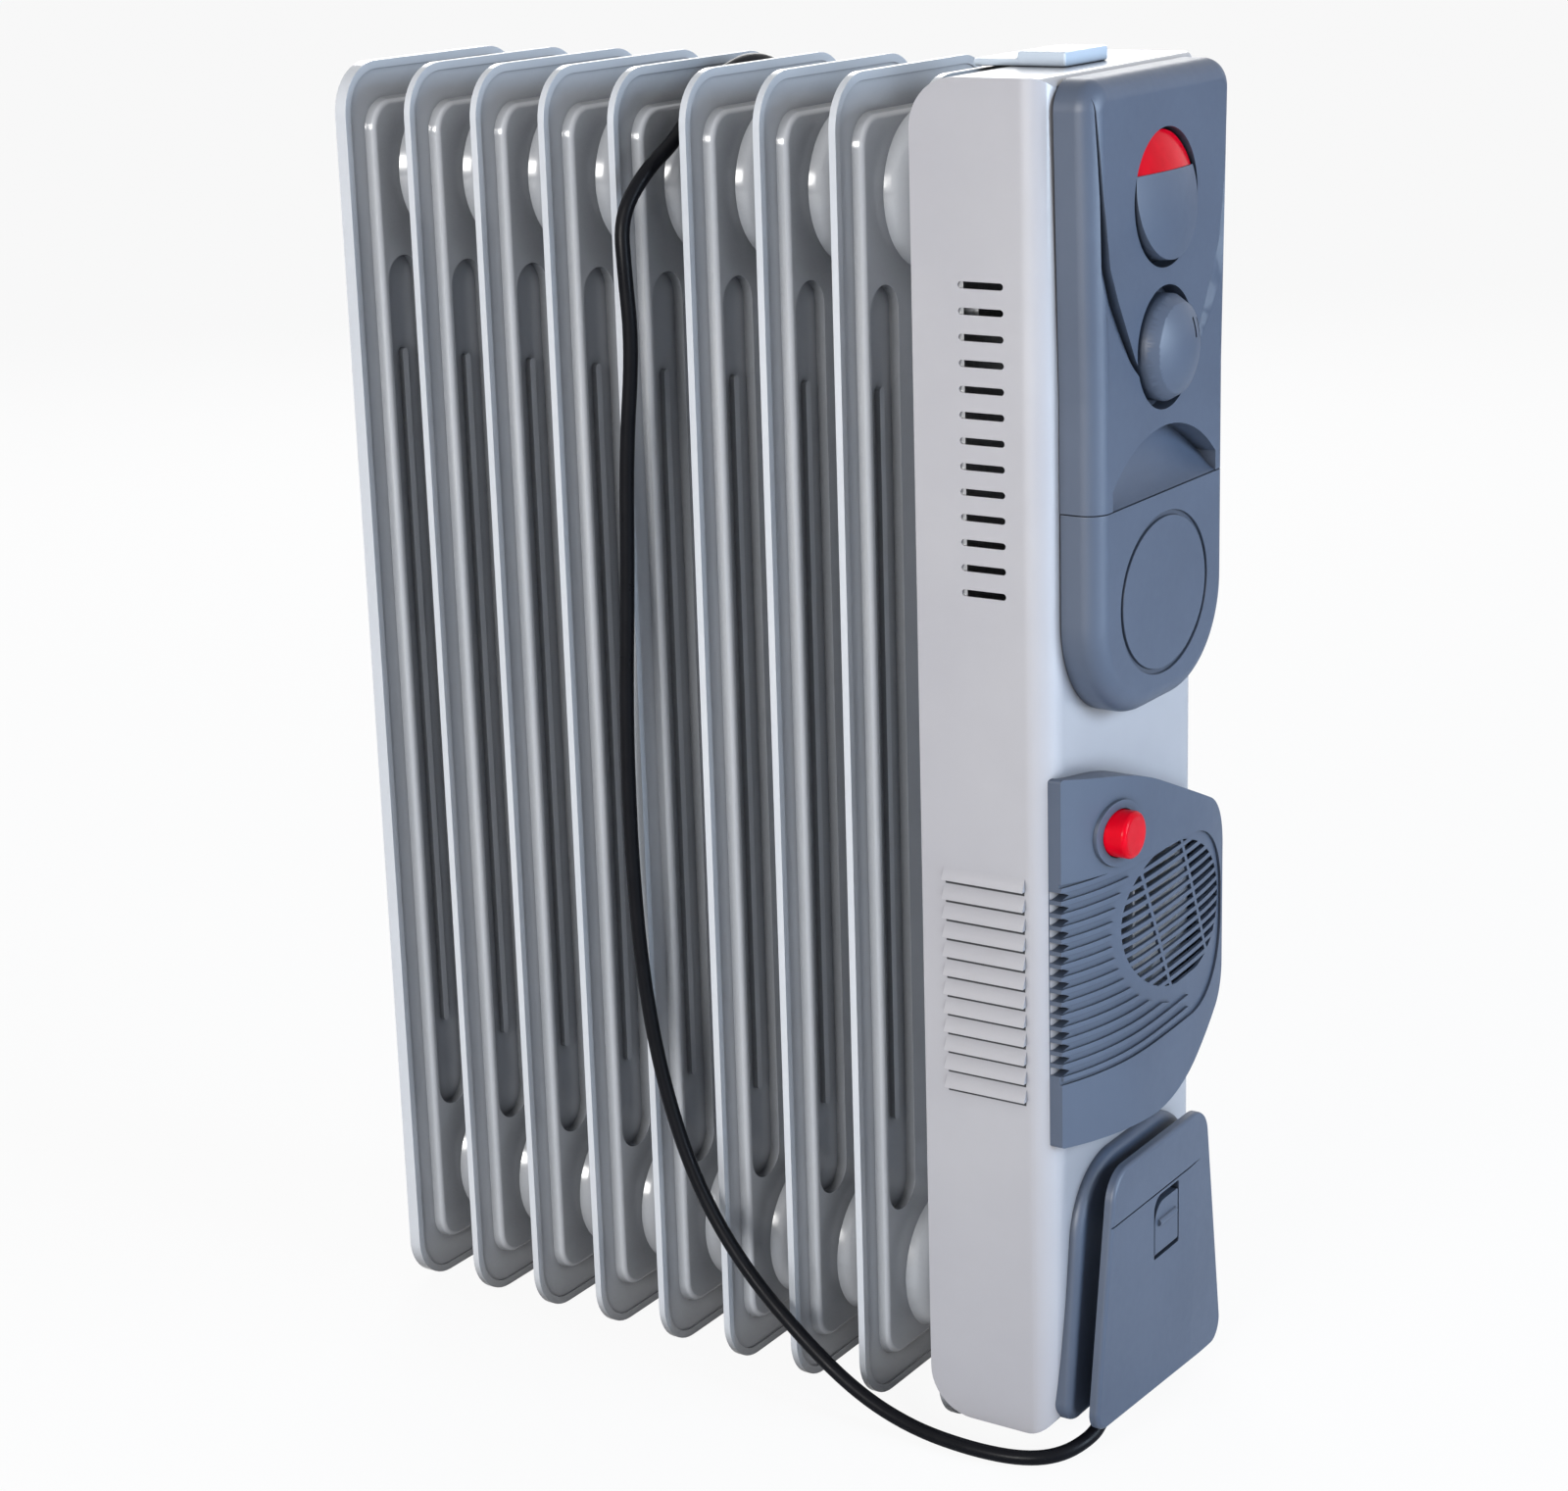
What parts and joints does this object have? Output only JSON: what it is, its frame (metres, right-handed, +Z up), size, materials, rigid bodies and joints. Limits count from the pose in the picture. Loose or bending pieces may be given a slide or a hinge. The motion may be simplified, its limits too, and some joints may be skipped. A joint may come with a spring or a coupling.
{
  "type": "oil filled radiator heater",
  "caption": "Oil filled radiator heater: row of pressed steel fins on two headers, with an end housing for switch, thermostat, fan heater and cord spool.",
  "frame": {"origin": "bottom centre of the heater, on the floor", "axes": "+Z up, +X along the row of fins towards the control housing, +Y across the fins"},
  "size_m": [0.3842, 0.2858, 0.587],
  "materials": {
    "fin_enamel": "satin",
    "housing_enamel": "satin",
    "white_plastic": "satin",
    "grey_plastic": "satin",
    "red_plastic": "gloss",
    "black_plastic": "matte",
    "black_rubber": "matte",
    "bare_steel": "satin",
    "plated_pin": "gloss",
    "bare_aluminium": "matte"
  },
  "bodies": {
    "heater": {"fin_1": "fin_enamel", "fin_2": "fin_enamel", "fin_3": "fin_enamel", "fin_4": "fin_enamel", "fin_5": "fin_enamel", "fin_6": "fin_enamel", "fin_7": "fin_enamel", "fin_8": "fin_enamel", "fin_end": "fin_enamel", "housing_shell": "housing_enamel", "top_cap": "white_plastic", "control_panel": "grey_plastic", "badge_cover": "grey_plastic", "fan_panel": "grey_plastic", "cord_spool": "grey_plastic", "cord_cover": "grey_plastic", "button_bezel": "grey_plastic", "rocker_switch_body": "black_plastic", "fan_switch_body": "black_plastic", "thermostat_body": "black_plastic", "fan_shroud": "black_plastic", "terminal_block": "black_plastic", "thermal_cutout": "black_plastic", "tilt_switch": "black_plastic", "plug_body": "black_plastic", "cord": "black_rubber", "cord_coil": "black_rubber", "cord_tail": "black_rubber", "strain_relief": "black_rubber", "coil_tie": "black_rubber", "element_gasket": "black_rubber", "heating_element_low": "bare_steel", "heating_element_high": "bare_steel", "element_flange": "bare_steel", "filler_plug": "bare_steel", "heat_shield": "bare_steel", "thermostat_bracket": "bare_steel", "rocker_pin": "bare_steel", "fan_motor": "bare_steel", "standoff_1": "bare_steel", "standoff_2": "bare_steel", "standoff_3": "bare_steel", "standoff_4": "bare_steel", "standoff_screw_1": "bare_steel", "standoff_screw_2": "bare_steel", "standoff_screw_3": "bare_steel", "standoff_screw_4": "bare_steel", "plug_pin_1": "plated_pin", "plug_pin_2": "plated_pin", "ptc_heater": "bare_aluminium"},
    "rocker": {"rocker_pad": "grey_plastic", "rocker_lens": "red_plastic"},
    "knob": {"thermostat_knob": "grey_plastic", "thermostat_shaft": "bare_steel"},
    "button": {"fan_button": "red_plastic"},
    "fan": {"impeller": "black_plastic", "motor_shaft": "bare_steel"},
    "latch": {"cover_latch": "grey_plastic"}
  },
  "joints": [
    {"name": "rocker_tilt", "type": "hinge", "parent": "heater", "child": "rocker", "pos_m": [0.1696, 0, 0.53], "axis": [0, 1, 0], "range_deg": [0, 14]},
    {"name": "knob_turn", "type": "hinge", "parent": "heater", "child": "knob", "pos_m": [0.1811, 0, 0.4705], "axis": [1, 0, 0], "range_deg": [0, 270]},
    {"name": "button_press", "type": "slide", "parent": "heater", "child": "button", "axis": [-1, 0, 0], "range_m": [0, 0.003], "stiffness_N_per_m": 400},
    {"name": "fan_spin", "type": "hinge", "parent": "heater", "child": "fan", "pos_m": [0.149, 0.0145, 0.227], "axis": [1, 0, 0], "continuous": true},
    {"name": "latch_press", "type": "hinge", "parent": "heater", "child": "latch", "pos_m": [0.179, 0.003, 0.0787], "axis": [0, -1, 0], "range_deg": [0, 5], "stiffness_Nm_per_rad": 0.6}
  ]
}
